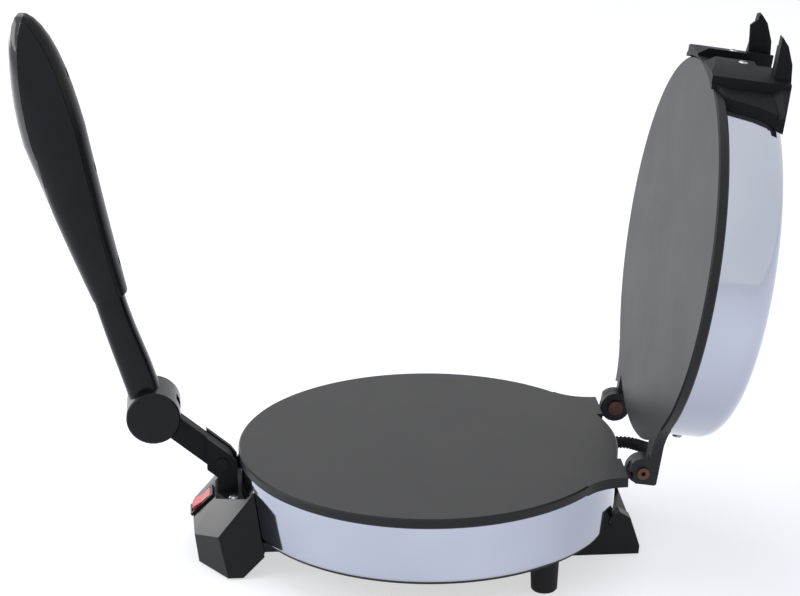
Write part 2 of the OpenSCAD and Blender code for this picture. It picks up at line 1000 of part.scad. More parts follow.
// Tongue of the housing under the bottom cover
module housing_tongue() {
    tongue_t = cover_low - tongue_low;
    translate([-tongue_half_w, -housing_back - 4, tongue_low])
        cube([2 * tongue_half_w, housing_back + 4 - tongue_back, tongue_t]);
    translate([-tongue_half_w, -housing_back - 4, housing_low])
        cube([2 * tongue_half_w, 12, tongue_low - housing_low + eps]);
}

module housing_cover() {
    inset = housing_wall + 0.2;
    color(black)
        difference() {
            intersection() {
                housing_shape(inset);
                translate([-big / 2, -big, housing_low])
                    cube([big, big - housing_back - 4 - 0.2, housing_cover_t - 0.1]);
            }
            at_housing_screws()
                translate([0, 0, housing_low - 1])
                    cylinder(r = small_screw_r + clear, h = 10);
        }
}

module housing_cover_screws() {
    color(steel)
        at_housing_screws()
            translate([0, 0, housing_low])
                mirror([0, 0, 1])
                    screw(small_screw_r, small_head_r, 0.9, 9);
}

module housing_screws() {
    color(steel)
        at_front_screws()
            translate([0, 0, tongue_low])
                mirror([0, 0, 1])
                    screw(screw_r, screw_head_r, screw_head_h, tongue_screw_len);
}

tongue_screw_len = 17;

// Rubber pads under the front housing
front_pad_x = 30;
front_pad_y = -plate_r - 12;

module front_pads() {
    pad_r = 6;
    color(rubber)
        both()
            translate([front_pad_x, front_pad_y, table_z])
                cylinder(r = pad_r, h = housing_low - table_z);
}

module terminal_block() {
    poles = 3;
    pitch = 9;
    block_d = 11.4;
    block_h = 10;
    low = housing_low + housing_cover_t;
    block_x = 14;
    block_y = -plate_r - 13;
    color([0.9, 0.9, 0.87])
        difference() {
            translate([block_x, block_y, low])
                cube([poles * pitch, block_d, block_h]);
            for (i = [0 : poles - 1])
                translate([block_x + (i + 0.5) * pitch, block_y + block_d / 2, low + 3])
                    cylinder(r = 2, h = block_h);
        }
}

// Rubber grommet in the housing's far side wall
module cord_gland() {
    flange_r = 7;
    flange_t = 1.8;
    bore_r = 3.5;
    color(rubber)
        translate([-housing_half_w, gland_y, gland_z])
            rotate([0, 90, 0])
                difference() {
                    union() {
                        translate([0, 0, -flange_t])
                            cylinder(r = flange_r, h = flange_t);
                        translate([0, 0, -eps])
                            cylinder(r = gland_neck_r, h = housing_wall + eps);
                        translate([0, 0, housing_wall])
                            cylinder(r1 = gland_neck_r + 0.9, r2 = gland_neck_r - 0.6, h = 2.4);
                    }
                    translate([0, 0, -5])
                        cylinder(r = bore_r, h = 20);
                }
}

// Rocker switch on the front slope

// Places children on the slope's middle, with +Y up the slope and +Z out of it
module at_switch() {
    up = bezel_mid;
    translate([0, -slope_top_front - up * cos(slope_angle), trough_low - up * sin(slope_angle)])
        rotate([slope_angle, 0, 0])
            children();
}

module switch_body() {
    hole_l = 2 * (rocker_half_l + 1.1);
    hole_w = 2 * (rocker_half_w + 0.4);
    body_l = bezel_l - 2.2;
    body_w = bezel_w - 2.2;
    color(rubber)
        at_switch()
            difference() {
                union() {
                    translate([-bezel_w / 2, -bezel_l / 2, 0.02])
                        cube([bezel_w, bezel_l, bezel_t]);
                    translate([-body_w / 2, -body_l / 2, -switch_depth])
                        cube([body_w, body_l, switch_depth + 0.5]);
                    for (place = [-5, 0, 5])
                        translate([-3, place - 0.4, -switch_depth - 7])
                            cube([6, 0.8, 7 + eps]);
                }
                translate([-hole_w / 2, -hole_l / 2, -switch_depth + 3])
                    cube([hole_w, hole_l, switch_depth]);
                translate([0, 0, -rocker_pivot_depth])
                    x_rod(-body_w / 2 + 0.2, body_w / 2 - 0.2, rocker_axle_r + pin_clear);
            }
}

rocker_axle_r = 1.2;

module switch_rocker() {
    l = rocker_half_l;
    w = rocker_half_w;
    edge = rocker_pivot_depth + bezel_t + 1;
    body_w = bezel_w - 2.2;
    color([0.8, 0.05, 0.06])
        at_switch()
            translate([0, 0, -rocker_pivot_depth])
                rotate([-rocker_tilt, 0, 0])
                    union() {
                        x_slab(-w, w)
                            polygon([[-l + 1.6, -2.2], [-l, 2.4], [-l, edge - 0.5], [-l + 0.6, edge],
                                [0, edge - 0.5], [l - 0.6, edge], [l, edge - 0.5], [l, 2.4],
                                [l - 1.6, -2.2]]);
                        x_rod(-body_w / 2 + 0.4, body_w / 2 - 0.4, rocker_axle_r);
                    }
}

// Lever

bracket_base_t = 2.4;
base_screw_x = 19;
base_edge_x = base_screw_x + 6.2;
base_screw_y = -plate_r - 3.6;

module at_bracket_base_screws() {
    for (side = [-1, 1])
        translate([side * base_screw_x, base_screw_y, 0])
            children();
}

// A point beside the strap at rest, by its distance along and out of its upper side
function strap_at(along, out) = [
    pivot_y - along * cos(strap_rest_angle) + out * sin(strap_rest_angle),
    pivot_z + along * sin(strap_rest_angle) + out * cos(strap_rest_angle)];

cheek_out = strap_half_d + 0.7;
cheek_under = strap_half_d + 1.3;
cheek_front = pivot_y - 8.5;
cheek_back = -plate_r - 0.9;

// Where a line beside the strap crosses the cheek's upright front edge
function cheek_cross(out) = (pivot_y + out * sin(strap_rest_angle) - cheek_front) / cos(strap_rest_angle);

module cheek_profile() {
    polygon([[cheek_back, trough_low], strap_at(-3, -cheek_under) + [0, trough_low - strap_at(-3, -cheek_under)[1]],
        strap_at(-3, -cheek_under), strap_at(cheek_cross(-cheek_under), -cheek_under),
        strap_at(cheek_cross(cheek_out), cheek_out), strap_at(-1, cheek_out), [cheek_back, pivot_z]]);
}

module lever_bracket() {
    color(black)
        difference() {
            union() {
                both()
                    x_slab(cheek_x, cheek_out_x)
                        cheek_profile();
                translate([0, 0, trough_low])
                    linear_extrude(height = bracket_base_t)
                        polygon([[cheek_out_x, -slope_top_front + 0.5], [base_edge_x, base_screw_y - 1],
                            [base_edge_x, -band_gap_r + 3], [-base_edge_x, -band_gap_r + 3],
                            [-base_edge_x, base_screw_y - 1], [-cheek_out_x, -slope_top_front + 0.5]]);
                x_slab(-cheek_x - eps, cheek_x + eps)
                    polygon([strap_at(1, -strap_half_d - clear), strap_at(1, -cheek_under),
                        strap_at(cheek_cross(-cheek_under), -cheek_under),
                        strap_at(cheek_cross(-strap_half_d - clear), -strap_half_d - clear)]);
            }
            translate([0, pivot_y, pivot_z])
                x_rod(-big / 2, big / 2, pivot_pin_r + fix_clear);
            at_bracket_base_screws()
                translate([0, 0, trough_low - 1])
                    cylinder(r = small_screw_r + clear, h = 10);
            translate([0, 0, trough_low - 1])
                cylinder(r = band_gap_r, h = bracket_base_t + 2);
        }
}

module lever_bracket_screws() {
    color(steel)
        at_bracket_base_screws()
            translate([0, 0, trough_low + bracket_base_t])
                screw(small_screw_r, small_head_r, 1.8, 7);
}

module lever_pivot_pin() {
    head_r = pivot_pin_r + 1.4;
    head_t = 0.9;
    color(black)
        translate([0, pivot_y, pivot_z]) {
            x_rod(-cheek_out_x - eps, cheek_out_x + eps, pivot_pin_r);
            both()
                x_rod(cheek_out_x, cheek_out_x + head_t, head_r);
        }
}

module lever_strap() {
    color(black)
        translate([0, pivot_y, pivot_z])
            rotate([strap_turn, 0, 0])
                x_slab(-strap_half_t, strap_half_t)
                    difference() {
                        union() {
                            circle(r = strap_half_d);
                            translate([-strap_half_d, 0])
                                square([2 * strap_half_d, strap_len]);
                            translate([0, strap_len])
                                circle(r = strap_eye_r);
                        }
                        circle(r = pivot_pin_r + pin_clear);
                        translate([0, strap_len])
                            circle(r = boss_pin_r + pin_clear);
                    }
}

// Places children at the handle: +Z up it from the boss pin, +Y to the hotplate
module at_handle() {
    translate([0, boss_y, boss_z])
        rotate([handle_lean, 0, 0])
            children();
}

module boss_pin() {
    color(steel)
        at_handle()
            x_rod(-cap_x + 0.2, cap_x - 0.2, boss_pin_r);
}

module boss_caps() {
    color(black)
        at_handle()
            both()
                translate([cap_x, 0, 0])
                    rotate([0, 90, 0]) {
                        cylinder(r = boss_r, h = boss_cap_t * 0.5);
                        translate([0, 0, boss_cap_t * 0.5 - eps])
                            cylinder(r1 = boss_r, r2 = boss_r - boss_cap_t * 0.5, h = boss_cap_t * 0.5 + eps);
                    }
}

// Handle outline as functions of the distance u up the handle

grip_peak = 0.71 * handle_len;
tip_run = handle_len - grip_peak;
neck_end = grip_start - 1;

function blend01(t) = t <= 0 ? 0 : t >= 1 ? 1 : t * t * (3 - 2 * t);
function tip_round(u) = u <= grip_peak ? 1 : sqrt(max(0, 1 - pow((u - grip_peak) / tip_run, 2)));
function grip_swell(u) = (u - neck_end) / (grip_peak - neck_end);

// Half depth, half width and middle of the section at u
function grip_d(u) = tip_round(u)
    * (u >= grip_peak ? grip_half_d : neck_half_d + 1.4 + (grip_half_d - neck_half_d - 1.4) * grip_swell(u));
function grip_w(u) = tip_round(u)
    * (neck_half_w + (grip_half_w - neck_half_w) * blend01((u - neck_end + 30) / (grip_peak - neck_end - 20)));
function grip_mid(u) = -3.3 * (blend01((u + 40) / grip_peak) - blend01((u + 7 - grip_peak) / tip_run));
function neck_d(u) = neck_half_d + 0.8 * blend01((grip_start - 10 - u) / 40);
function neck_mid(u) = -3.4 + 1.8 * blend01((grip_start - 10 - u) / 50);

sides = 28;
round_power = 0.8;

function signed_pow(v, p) = sign(v) * pow(abs(v), p);

// One section ring around the handle at u
function ring(u, w, d, mid) = [for (i = [0 : sides - 1])
    let (a = i * 360 / sides)
    [w * signed_pow(cos(a), round_power), mid + d * signed_pow(sin(a), round_power), u]];

// Closed skin over a row of rings
module skin(rings) {
    n = len(rings[0]);
    m = len(rings);
    points = [for (r = rings) each r];
    walls = [for (j = [0 : m - 2], i = [0 : n - 1])
        let (a = j * n + i, b = j * n + (i + 1) % n)
        each [[a, b + n, b], [a, a + n, b + n]]];
    ends = [[for (i = [0 : n - 1]) i], [for (i = [n - 1 : -1 : 0]) (m - 1) * n + i]];
    polyhedron(points = points, faces = concat(walls, ends), convexity = 6);
}

grip_steps = 12;
tip_steps = 9;
grip_us = concat([for (i = [0 : grip_steps - 1]) grip_start + (grip_peak - grip_start) * i / grip_steps],
    [for (i = [0 : tip_steps]) grip_peak + tip_run * sin(i * 88 / tip_steps)]);

module grip_skin(inset) {
    skin([for (u = grip_us)
        let (v = grip_start + inset + (u - grip_start) * (handle_len - grip_start - 2 * inset) / (handle_len - grip_start))
        ring(v, max(0.4, grip_w(u) - inset), max(0.4, grip_d(u) - inset), grip_mid(u))]);
}

neck_steps = 6;
neck_start = 6;

module neck_skin() {
    skin([for (i = [0 : neck_steps])
        let (u = neck_start + (grip_start + 2 - neck_start) * i / neck_steps)
        ring(u, neck_half_w, neck_d(u), neck_mid(u))]);
}

seam = 0.12;

// Side view mask of the outer cap, outside its seam
module cap_mask(gap) {
    start = grip_peak - 0.42 * (grip_peak - grip_start);
    us = [for (u = grip_us) if (u >= start) u];
    last = handle_len + 1;
    x_slab(-big / 2, big / 2)
        polygon(concat([for (u = us) [grip_mid(u) - grip_d(u) + cap_depth * cap_fade(u) - gap, u]],
            [[grip_mid(handle_len) + 1.5 - gap, last], [-big / 4, last], [-big / 4, us[0]]]));
}

function cap_fade(u) = 0.25 + 0.75 * blend01((u - (grip_peak - 0.42 * (grip_peak - grip_start))) / 40);

// Side view mask of the inner shell, on the hotplate's side of its seam
module inner_mask(gap) {
    x_slab(-big / 2, big / 2)
        polygon(concat([for (u = grip_us) [grip_mid(u) + max(grip_d(u) - inner_depth, 2) + gap, u]],
            [[2 + gap, handle_len + 1], [big / 4, handle_len + 1], [big / 4, grip_start]]));
}

handle_screw_places = [0.38, 0.61, 0.84];
handle_post_r = 3.8;
handle_rib_t = 1.8;

module at_handle_screws() {
    for (place = handle_screw_places)
        translate([0, 0, place * handle_len])
            children();
}

// Places children at the sunk seats of the handle's screws, with +Z out of the grip
module at_handle_seats(out) {
    sunk = 2;
    for (place = handle_screw_places)
        let (u = place * handle_len)
        translate([0, grip_mid(u) + grip_d(u) - sunk + out, u])
            rotate([-90, 0, 0])
                children();
}

module handle_body() {
    color(black)
        at_handle()
            difference() {
                union() {
                    difference() {
                        grip_skin(0);
                        grip_skin(handle_wall);
                        cap_mask(-seam);
                        inner_mask(-seam);
                    }
                    difference() {
                        neck_skin();
                        inner_mask(-seam);
                    }
                    x_rod(-cap_x, cap_x, boss_r);
                    intersection() {
                        at_handle_screws() {
                            rotate([90, 0, 0])
                                cylinder(r = handle_post_r, h = 40, center = true);
                            cube([60, 60, handle_rib_t], center = true);
                        }
                        difference() {
                            grip_skin(0.6);
                            cap_mask(-seam);
                            inner_mask(-seam);
                        }
                    }
                }
                x_rod(-cap_x - 1, cap_x + 1, boss_pin_r + fix_clear);
                x_rod(-cheek_x + 0.1, cheek_x - 0.1, boss_slot_r);
                translate([-cheek_x + 0.1, -big / 2, -big])
                    cube([2 * cheek_x - 0.2, big, big + 4]);
                at_handle_screws()
                    rotate([-90, 0, 0])
                        translate([0, 0, -7])
                            cylinder(r = small_screw_r + fix_clear, h = 30);
            }
}

module handle_cap() {
    color(black)
        at_handle()
            intersection() {
                difference() {
                    grip_skin(0);
                    grip_skin(handle_wall);
                }
                cap_mask(seam);
            }
}

module handle_inner_shell() {
    color(black)
        at_handle()
            difference() {
                intersection() {
                    grip_skin(0);
                    inner_mask(seam);
                    union() {
                        difference() {
                            grip_skin(-1);
                            grip_skin(handle_wall);
                        }
                        at_handle_seats(-20)
                            cylinder(r = small_head_r + clear + 1.2, h = 40);
                    }
                }
                at_handle_seats(-20)
                    cylinder(r = small_screw_r + clear, h = 40);
                at_handle_seats(0)
                    cylinder(r = small_head_r + clear, h = 10);
            }
}

module handle_screws() {
    color(steel)
        at_handle()
            at_handle_seats(fix_clear)
                screw(small_screw_r, small_head_r, 1.2, 10);
}

// Lid bracket, in the closed pose

// Front view of the collar's spread over the chrome shell
module collar_view() {
    half = bracket_half_w;
    for (side = [-1, 1])
        polygon([[0, bracket_low], [side * (half + 2), bracket_low], [side * (half + 2), 2],
            [side * (half + 9.5), 6.4], [side * (half + 13.5), 24], [side * (half + 19.5), 38.4],
            [side * half, bracket_top], [0, bracket_top]]);
}

module lid_bracket() {
    color(black)
        open_lid()
            difference() {
                union() {
                    bracket_collar();
                    bracket_block();
                    mirror([1, 0, 0])
                        bracket_horn();
                    difference() {
                        bracket_horn();
                        translate([0, -big, near_horn_z - big])
                            cube(big);
                    }
                }
                bracket_cuts();
            }
}

// Collar that wraps the lid's shell, with a thumb rim along its top edge
module bracket_collar() {
    mid_r = shell_r + collar_t;
    intersection() {
        difference() {
            union() {
                rotate_extrude()
                    polygon([[plate_r - 14, bracket_low], [plate_r + collar_t, bracket_low],
                        [plate_r + collar_t, 4], [mid_r, 9], [mid_r, 34], [plate_r - 14, 34]]);
                translate([0, rim_mid_y, 29])
                    cylinder(r1 = rim_r - 5.5, r2 = rim_r, h = 9);
                translate([0, rim_mid_y, 38 - eps])
                    cylinder(r = rim_r, h = 10);
            }
            lid_outside();
            translate([0, 0, bracket_low - 1])
                cylinder(r = pan_r - 1.5, h = 60);
        }
        rotate([90, 0, 0])
            linear_extrude(height = big)
                collar_view();
    }
}

// Room of the lid's shell and hotplate, with a clearance round them
module lid_outside() {
    c = 0.2;
    rotate_extrude()
        difference() {
            union() {
                translate([0, lid_back - 1])
                    square([pan_r + c, lid_top + c - lid_back + 1]);
                translate([0, bracket_low - 1])
                    square([plate_r + 0.3, lid_back + c - bracket_low + 1]);
            }
            translate([0, 2 * lid_top + c])
                mirror([0, 1])
                    corner_cut(pan_r + c, lid_top, lid_corner_r);
        }
}

// Thick middle that carries the screws and the horns
module bracket_block() {
    difference() {
        x_slab(-bracket_half_w, bracket_half_w)
            polygon([[-plate_r + 14, bracket_low], [-plate_r - 2.4, bracket_low],
                [-bracket_front, 5], [-bracket_front, 26], [-bracket_front - 1, 31],
                [-bracket_front, bracket_top], [-plate_r + 4, bracket_top], [-plate_r + 14, 31]]);
        lid_outside();
        translate([0, 0, bracket_low - 1])
            cylinder(r = pan_r - 1.5, h = 60);
        translate([0, 0, bracket_low - 1])
            difference() {
                cylinder(r = 2 * plate_r, h = 60);
                translate([0, 0, -1])
                    cylinder(r = bracket_front, h = 62);
            }
    }
}

near_horn_z = 34;

// One guide horn: a tapered prong beside the channel of the lever's boss
module bracket_horn() {
    in_x = horn_out_x - horn_t;
    root = -bracket_front + 5;
    x_slab(in_x, horn_out_x)
        polygon([[root, 30.4], [-horn_reach + 12.5, 31.7], [-horn_reach + 0.8, 32.6],
            [-horn_reach, 34.4], [-horn_reach + 4.5, 38.4], [-horn_reach + 14.5, 42.6], [root, 44]]);
    x_slab(in_x - 2, in_x + eps)
        polygon([[root, 30.4], [-horn_reach + 12.5, 29.2], [-horn_reach + 6.5, 28.3],
            [-horn_reach + 2.2, 32.6], [-horn_reach + 12.5, 36.4], [root, 39.4]]);
}

// Slot for the lever bracket, channel for the boss, screw holes
module bracket_cuts() {
    channel = boss_half_w + 0.7;
    web = 1.2;
    translate([-slot_half_w, -big, bracket_low - 1])
        cube([2 * slot_half_w, big - plate_r - web, 80]);
    translate([-channel, -big, drum_clear_z])
        cube([2 * channel, big - plate_r - web, 80]);
    translate([-channel, -big, drum_clear_z + 3.5])
        cube([2 * channel, big - plate_r + 20, 80]);
    both()
        translate([bracket_screw_x, -bracket_seat_y, bracket_screw_z])
            rotate([90, 0, 0])
                cylinder(r = small_head_r + clear, h = 20);
    both()
        translate([bracket_screw_x, -bracket_seat_y + 20, bracket_screw_z])
            rotate([90, 0, 0])
                cylinder(r = small_screw_r + clear, h = 40);
}

module bracket_screws() {
    color(steel)
        open_lid()
            both()
                translate([bracket_screw_x, -bracket_seat_y, bracket_screw_z])
                    rotate([90, 0, 0])
                        screw(small_screw_r, small_head_r, 1.8, 18);
}

module lid_pan_screws() {
    color(steel)
        open_lid()
            both()
                at_wall(lid_screw_x, pan_r + fix_clear, lid_screw_z)
                    screw(small_screw_r, small_head_r, 1.6, 11);
}

// Feet

rear_screw_x = 24;
foot_end = 9;
rear_screw_y = plate_r - 14;

module rear_foot() {
    top = cover_low;
    color(black)
        difference() {
            x_slab(-rear_foot_half_w, rear_foot_half_w)
                translate([plate_r, 0])
                    polygon([[-30, table_z], [9.2, table_z], [9.6, table_z + 5], [3.9, top + 3.9],
                        [-2.6, top + 8], [-8.8, top + 3.8], [-10, top], [-18, top], [-18, top - 3.5]]);
            translate([0, 0, top])
                cylinder(r = band_gap_r, h = 40);
            translate([-rear_foot_half_w + foot_end, plate_r - 6, table_z + 11])
                cube([2 * (rear_foot_half_w - foot_end), 30, 40]);
            translate([-rear_foot_half_w + 3, plate_r - 10, table_z - 1])
                cube([2 * rear_foot_half_w - 6, 12, 8]);
            both()
                translate([rear_screw_x, rear_screw_y, table_z - 1])
                    cylinder(r = small_head_r + clear, h = stand_h + cover_low - 3);
            both()
                translate([rear_screw_x, rear_screw_y, table_z - 1])
                    cylinder(r = small_screw_r + clear, h = 30);
        }
}

module rear_foot_screws() {
    color(steel)
        both()
            translate([rear_screw_x, rear_screw_y, cover_low - 4])
                mirror([0, 0, 1])
                    screw(small_screw_r, small_head_r, 1.8, 8);
}

module side_feet() {
    foot_h = cover_low - table_z;
    color(rubber)
        both()
            translate([side_foot_x, side_foot_y, table_z])
                difference() {
                    union() {
                        cylinder(r1 = side_foot_r - 0.8, r2 = side_foot_r, h = 1);
                        translate([0, 0, 1 - eps])
                            cylinder(r1 = side_foot_r, r2 = side_foot_r + 0.8, h = foot_h - 1 + eps);
                    }
                    translate([0, 0, -1])
                        cylinder(r = small_head_r + clear, h = 9);
                    translate([0, 0, -1])
                        cylinder(r = small_screw_r + clear, h = 30);
                }
}

module side_foot_screws() {
    color(steel)
        both()
            translate([side_foot_x, side_foot_y, table_z + 8])
                mirror([0, 0, 1])
                    screw(small_screw_r, small_head_r, 1.8, stand_h + cover_low - 8 + 4);
}

// Rivets of the lid hinge, fixed in the lower ears
module hinge_pins() {
    color([0.62, 0.42, 0.32])
        both()
            translate([0, hinge_y, hinge_z])
                difference() {
                    union() {
                        x_rod(ear_x - pin_head_t, ear_x, pin_head_r);
                        x_rod(ear_x - eps, lug_out_x + 0.2 + rivet_t, hinge_pin_r);
                        x_rod(lug_out_x + 0.2, lug_out_x + 0.2 + rivet_t, rivet_r);
                    }
                    x_rod(lug_out_x - 2, lug_out_x + 5, hinge_pin_r * 0.45);
                }
}

// Cable conduit

// Position of a closed-lid point with the lid open
function opened(p) =
    let (y = p[1] - hinge_y, z = p[2] - hinge_z, c = cos(lid_open_angle), s = sin(lid_open_angle))
    [p[0], hinge_y + y * c + z * s, hinge_z - y * s + z * c];

conduit_in = 1.4;
plain_end = 3.2;
straight_run = 2 * conduit_r - plain_end;
straight_share = 0.09;
arm = 18;

// Outward direction of a round rear wall at a distance x from the middle plane
function wall_dir(x, r) = [x / r, sqrt(1 - pow(x / r, 2)), 0];

base_dir = wall_dir(conduit_base_x, shell_r);
base_end = base_dir * (shell_r - conduit_in) + [0, 0, conduit_base_z];
lid_end_closed = wall_dir(conduit_lid_x, pan_r) * (pan_r - conduit_in) + [0, 0, conduit_lid_z];
lid_end = opened(lid_end_closed);
lid_dir = opened(lid_end_closed + wall_dir(conduit_lid_x, pan_r)) - lid_end;

// Smooth curve between the two straight ends
function bow(t) =
    let (a = base_end + base_dir * (plain_end + straight_run), b = a + base_dir * arm,
        d = lid_end + lid_dir * (plain_end + straight_run), c = d + lid_dir * arm, s = 1 - t)
    a * pow(s, 3) + b * 3 * s * s * t + c * 3 * s * t * t + d * pow(t, 3);

// Centre line of the ribbed part, straight at both ends
function route(t) =
    t < straight_share ? base_end + base_dir * (plain_end + straight_run * t / straight_share)
    : t > 1 - straight_share ? lid_end + lid_dir * (plain_end + straight_run * (1 - t) / straight_share)
    : bow((t - straight_share) / (1 - 2 * straight_share));

function route_dir(t) =
    let (e = 0.001, q = route(min(1, t + e)) - route(max(0, t - e)))
    q / norm(q);

conduit_sides = 8;

// Ring across the conduit
function conduit_ring(p, dir, r) =
    let (side = cross(dir, [0.96, 0.1, 0.28]), u = side / norm(side), v = cross(dir, u))
    [for (i = [0 : conduit_sides - 1])
        let (a = i * 360 / conduit_sides)
        p + r * (cos(a) * u + sin(a) * v)];

// Rings along both plain ends and the route between them
function conduit_rings(r, over, middle) = concat(
    [for (on = [-over, plain_end]) conduit_ring(base_end + base_dir * on, base_dir, r)],
    middle,
    [for (on = [plain_end, -over]) conduit_ring(lid_end + lid_dir * on, -lid_dir, r)]);

module cable_conduit() {
    bore_steps = 20;
    plain_r = conduit_r - rib_depth;
    color(black)
        difference() {
            skin(conduit_rings(plain_r, 0, [for (k = [0 : rib_count - 1], half = [0, 1])
                let (t = (k + 0.25 + half * 0.5) / rib_count)
                conduit_ring(route(t), route_dir(t), half == 0 ? conduit_r : plain_r)]));
            skin(conduit_rings(conduit_bore_r, 2, [for (k = [1 : bore_steps - 1])
                conduit_ring(route(k / bore_steps), route_dir(k / bore_steps), conduit_bore_r)]));
        }
}

// Rubber grommet in a shell's wall, with its axis along +Z out of the wall at z = 0
module grommet() {
    flange_r = grommet_r + 1.4;
    flange_t = 1.2;
    difference() {
        union() {
            translate([0, 0, fix_clear])
                cylinder(r = flange_r, h = flange_t);
            translate([0, 0, -shell_wall - 0.6])
                cylinder(r = grommet_r - fix_clear, h = shell_wall + 0.8);
            translate([0, 0, -shell_wall - 0.3 - flange_t])
                cylinder(r = flange_r, h = flange_t);
        }
        cylinder(r = conduit_r - rib_depth + 0.1, h = 30, center = true);
    }
}

module base_grommet() {
    color(rubber)
        at_wall(conduit_base_x, shell_r, conduit_base_z)
            grommet();
}

module lid_grommet() {
    color(rubber)
        open_lid()
            at_wall(conduit_lid_x, pan_r, conduit_lid_z)
                grommet();
}

lower_plate();
base_shell();
bottom_cover();
lower_element();
lower_insulation();
lower_heat_shield();
lower_shield_screw();
cover_screws();
thermostat();
thermal_fuse();
front_housing();
housing_cover();
housing_cover_screws();
housing_screws();
front_pads();
terminal_block();
cord_gland();
switch_body();
switch_rocker();
lever_bracket();
lever_bracket_screws();
lever_pivot_pin();
lever_strap();
boss_pin();
boss_caps();
handle_body();
handle_cap();
handle_inner_shell();
handle_screws();
rear_foot();
rear_foot_screws();
side_feet();
side_foot_screws();
hinge_pins();
base_grommet();
cable_conduit();
upper_plate();
lid_pan();
upper_element();
upper_insulation();
upper_heat_shield();
upper_shield_screw();
lid_bracket();
bracket_screws();
lid_pan_screws();
lid_grommet();
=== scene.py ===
# Electric roti maker: finishes, smooth grip and ribbed conduit round the fixed parts, with camera and light.
import json
import math

import bpy
import numpy as np
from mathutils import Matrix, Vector


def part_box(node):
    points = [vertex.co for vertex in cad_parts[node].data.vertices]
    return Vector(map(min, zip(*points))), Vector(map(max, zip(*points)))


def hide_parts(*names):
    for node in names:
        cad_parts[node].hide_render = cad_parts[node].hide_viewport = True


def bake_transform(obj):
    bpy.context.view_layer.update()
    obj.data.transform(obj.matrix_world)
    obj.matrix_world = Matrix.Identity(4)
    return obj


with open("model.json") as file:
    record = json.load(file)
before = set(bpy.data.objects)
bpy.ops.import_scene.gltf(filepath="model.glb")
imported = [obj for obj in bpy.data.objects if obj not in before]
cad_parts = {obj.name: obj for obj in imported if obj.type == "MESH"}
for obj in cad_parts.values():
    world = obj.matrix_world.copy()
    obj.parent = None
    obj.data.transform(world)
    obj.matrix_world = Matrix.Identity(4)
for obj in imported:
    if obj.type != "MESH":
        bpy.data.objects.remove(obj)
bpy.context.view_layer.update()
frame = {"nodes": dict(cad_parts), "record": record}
nodes = frame["nodes"]
MM = 0.001
CREASE_ANGLE = math.radians(32)


def to_linear(hex_colour):
    """An sRGB hex colour as linear RGBA."""
    parts = [int(hex_colour[i:i + 2], 16) / 255 for i in (1, 3, 5)]
    return tuple(c / 12.92 if c <= 0.04045 else ((c + 0.055) / 1.055) ** 2.4 for c in parts) + (1.0,)


def per_mm(size_mm):
    """Texture scale, in 1/m, for features of a real size in millimetres."""
    return 1000.0 / size_mm


def put(tree, kind, settings=None, links=None):
    """Adds one node, sets its properties, input values and ramp stops, and links its inputs."""
    node = tree.nodes.new(kind)
    for name, value in (settings or {}).items():
        if name == "stops":
            for stop, (place, colour) in zip(node.color_ramp.elements, value):
                stop.position = place
                stop.color = to_linear(colour)
        elif name in node.inputs:
            node.inputs[name].default_value = value
        else:
            setattr(node, name, value)
    for name, source in (links or {}).items():
        tree.links.new(source, node.inputs[name])
    return node


def new_finish(name, **surface):
    """A material with its shader; surface values are set on the shader's own sockets."""
    finish = bpy.data.materials.new(name)
    finish.use_nodes = True
    tree = finish.node_tree
    shader = tree.nodes["Principled BSDF"]
    for key, value in surface.items():
        shader.inputs[key.replace("_", " ")].default_value = value
    return finish, tree, shader


def object_pattern(tree, kind, size_mm, detail=None):
    """A procedural pattern on the piece itself, with features of a real size in millimetres."""
    place = put(tree, "ShaderNodeTexCoord").outputs["Object"]
    settings = {"Scale": per_mm(size_mm)} if detail is None else {"Scale": per_mm(size_mm), "Detail": detail}
    return put(tree, kind, settings, {"Vector": place})


def two_tones(pattern, dark, light):
    """The settings and links of a ramp between two sRGB tones over a cloudy pattern."""
    return {"stops": [(0.3, dark), (0.7, light)]}, {"Fac": pattern.outputs["Fac"]}


def skin(tree, shader, colour, pattern, rough_range, relief=None):
    """Links the colour, a roughness that follows a pattern, and a relief of (pattern, strength, mm)."""
    tree.links.new(colour, shader.inputs["Base Color"])
    rough = put(tree, "ShaderNodeMapRange", {"To Min": rough_range[0], "To Max": rough_range[1]},
                {"Value": pattern.outputs["Fac"]})
    tree.links.new(rough.outputs["Result"], shader.inputs["Roughness"])
    if relief:
        height, strength, depth_mm = relief
        bump = put(tree, "ShaderNodeBump", {"Strength": strength, "Distance": depth_mm * MM},
                   {"Height": height.outputs["Fac"]})
        tree.links.new(bump.outputs["Normal"], shader.inputs["Normal"])


def coated_cast_aluminium():
    # Die-cast aluminium with a baked fluoropolymer coating: dark grey, satin, with a fine pebble, a
    # scatter of flecks and a cloudy spread of sheen from the sprayed coat.
    finish, tree, shader = new_finish("coated_cast_aluminium", IOR=1.38)
    cloud = object_pattern(tree, "ShaderNodeTexNoise", 45, 4.0)
    pebble = object_pattern(tree, "ShaderNodeTexNoise", 0.9, 2.0)
    speck = object_pattern(tree, "ShaderNodeTexVoronoi", 1.6)
    tone = put(tree, "ShaderNodeValToRGB", *two_tones(cloud, "#17181b", "#1f2023"))
    fleck = put(tree, "ShaderNodeValToRGB", {"stops": [(0.0, "#3a3a3e"), (0.22, "#000000")]},
                {"Fac": speck.outputs["Distance"]})
    mixed = put(tree, "ShaderNodeMix", {"data_type": "RGBA", "blend_type": "ADD"},
                {6: tone.outputs["Color"], 7: fleck.outputs["Color"]})
    mixed.inputs[0].default_value = 0.35
    skin(tree, shader, mixed.outputs[2], cloud, (0.36, 0.5), (pebble, 0.35, 0.03))
    return finish


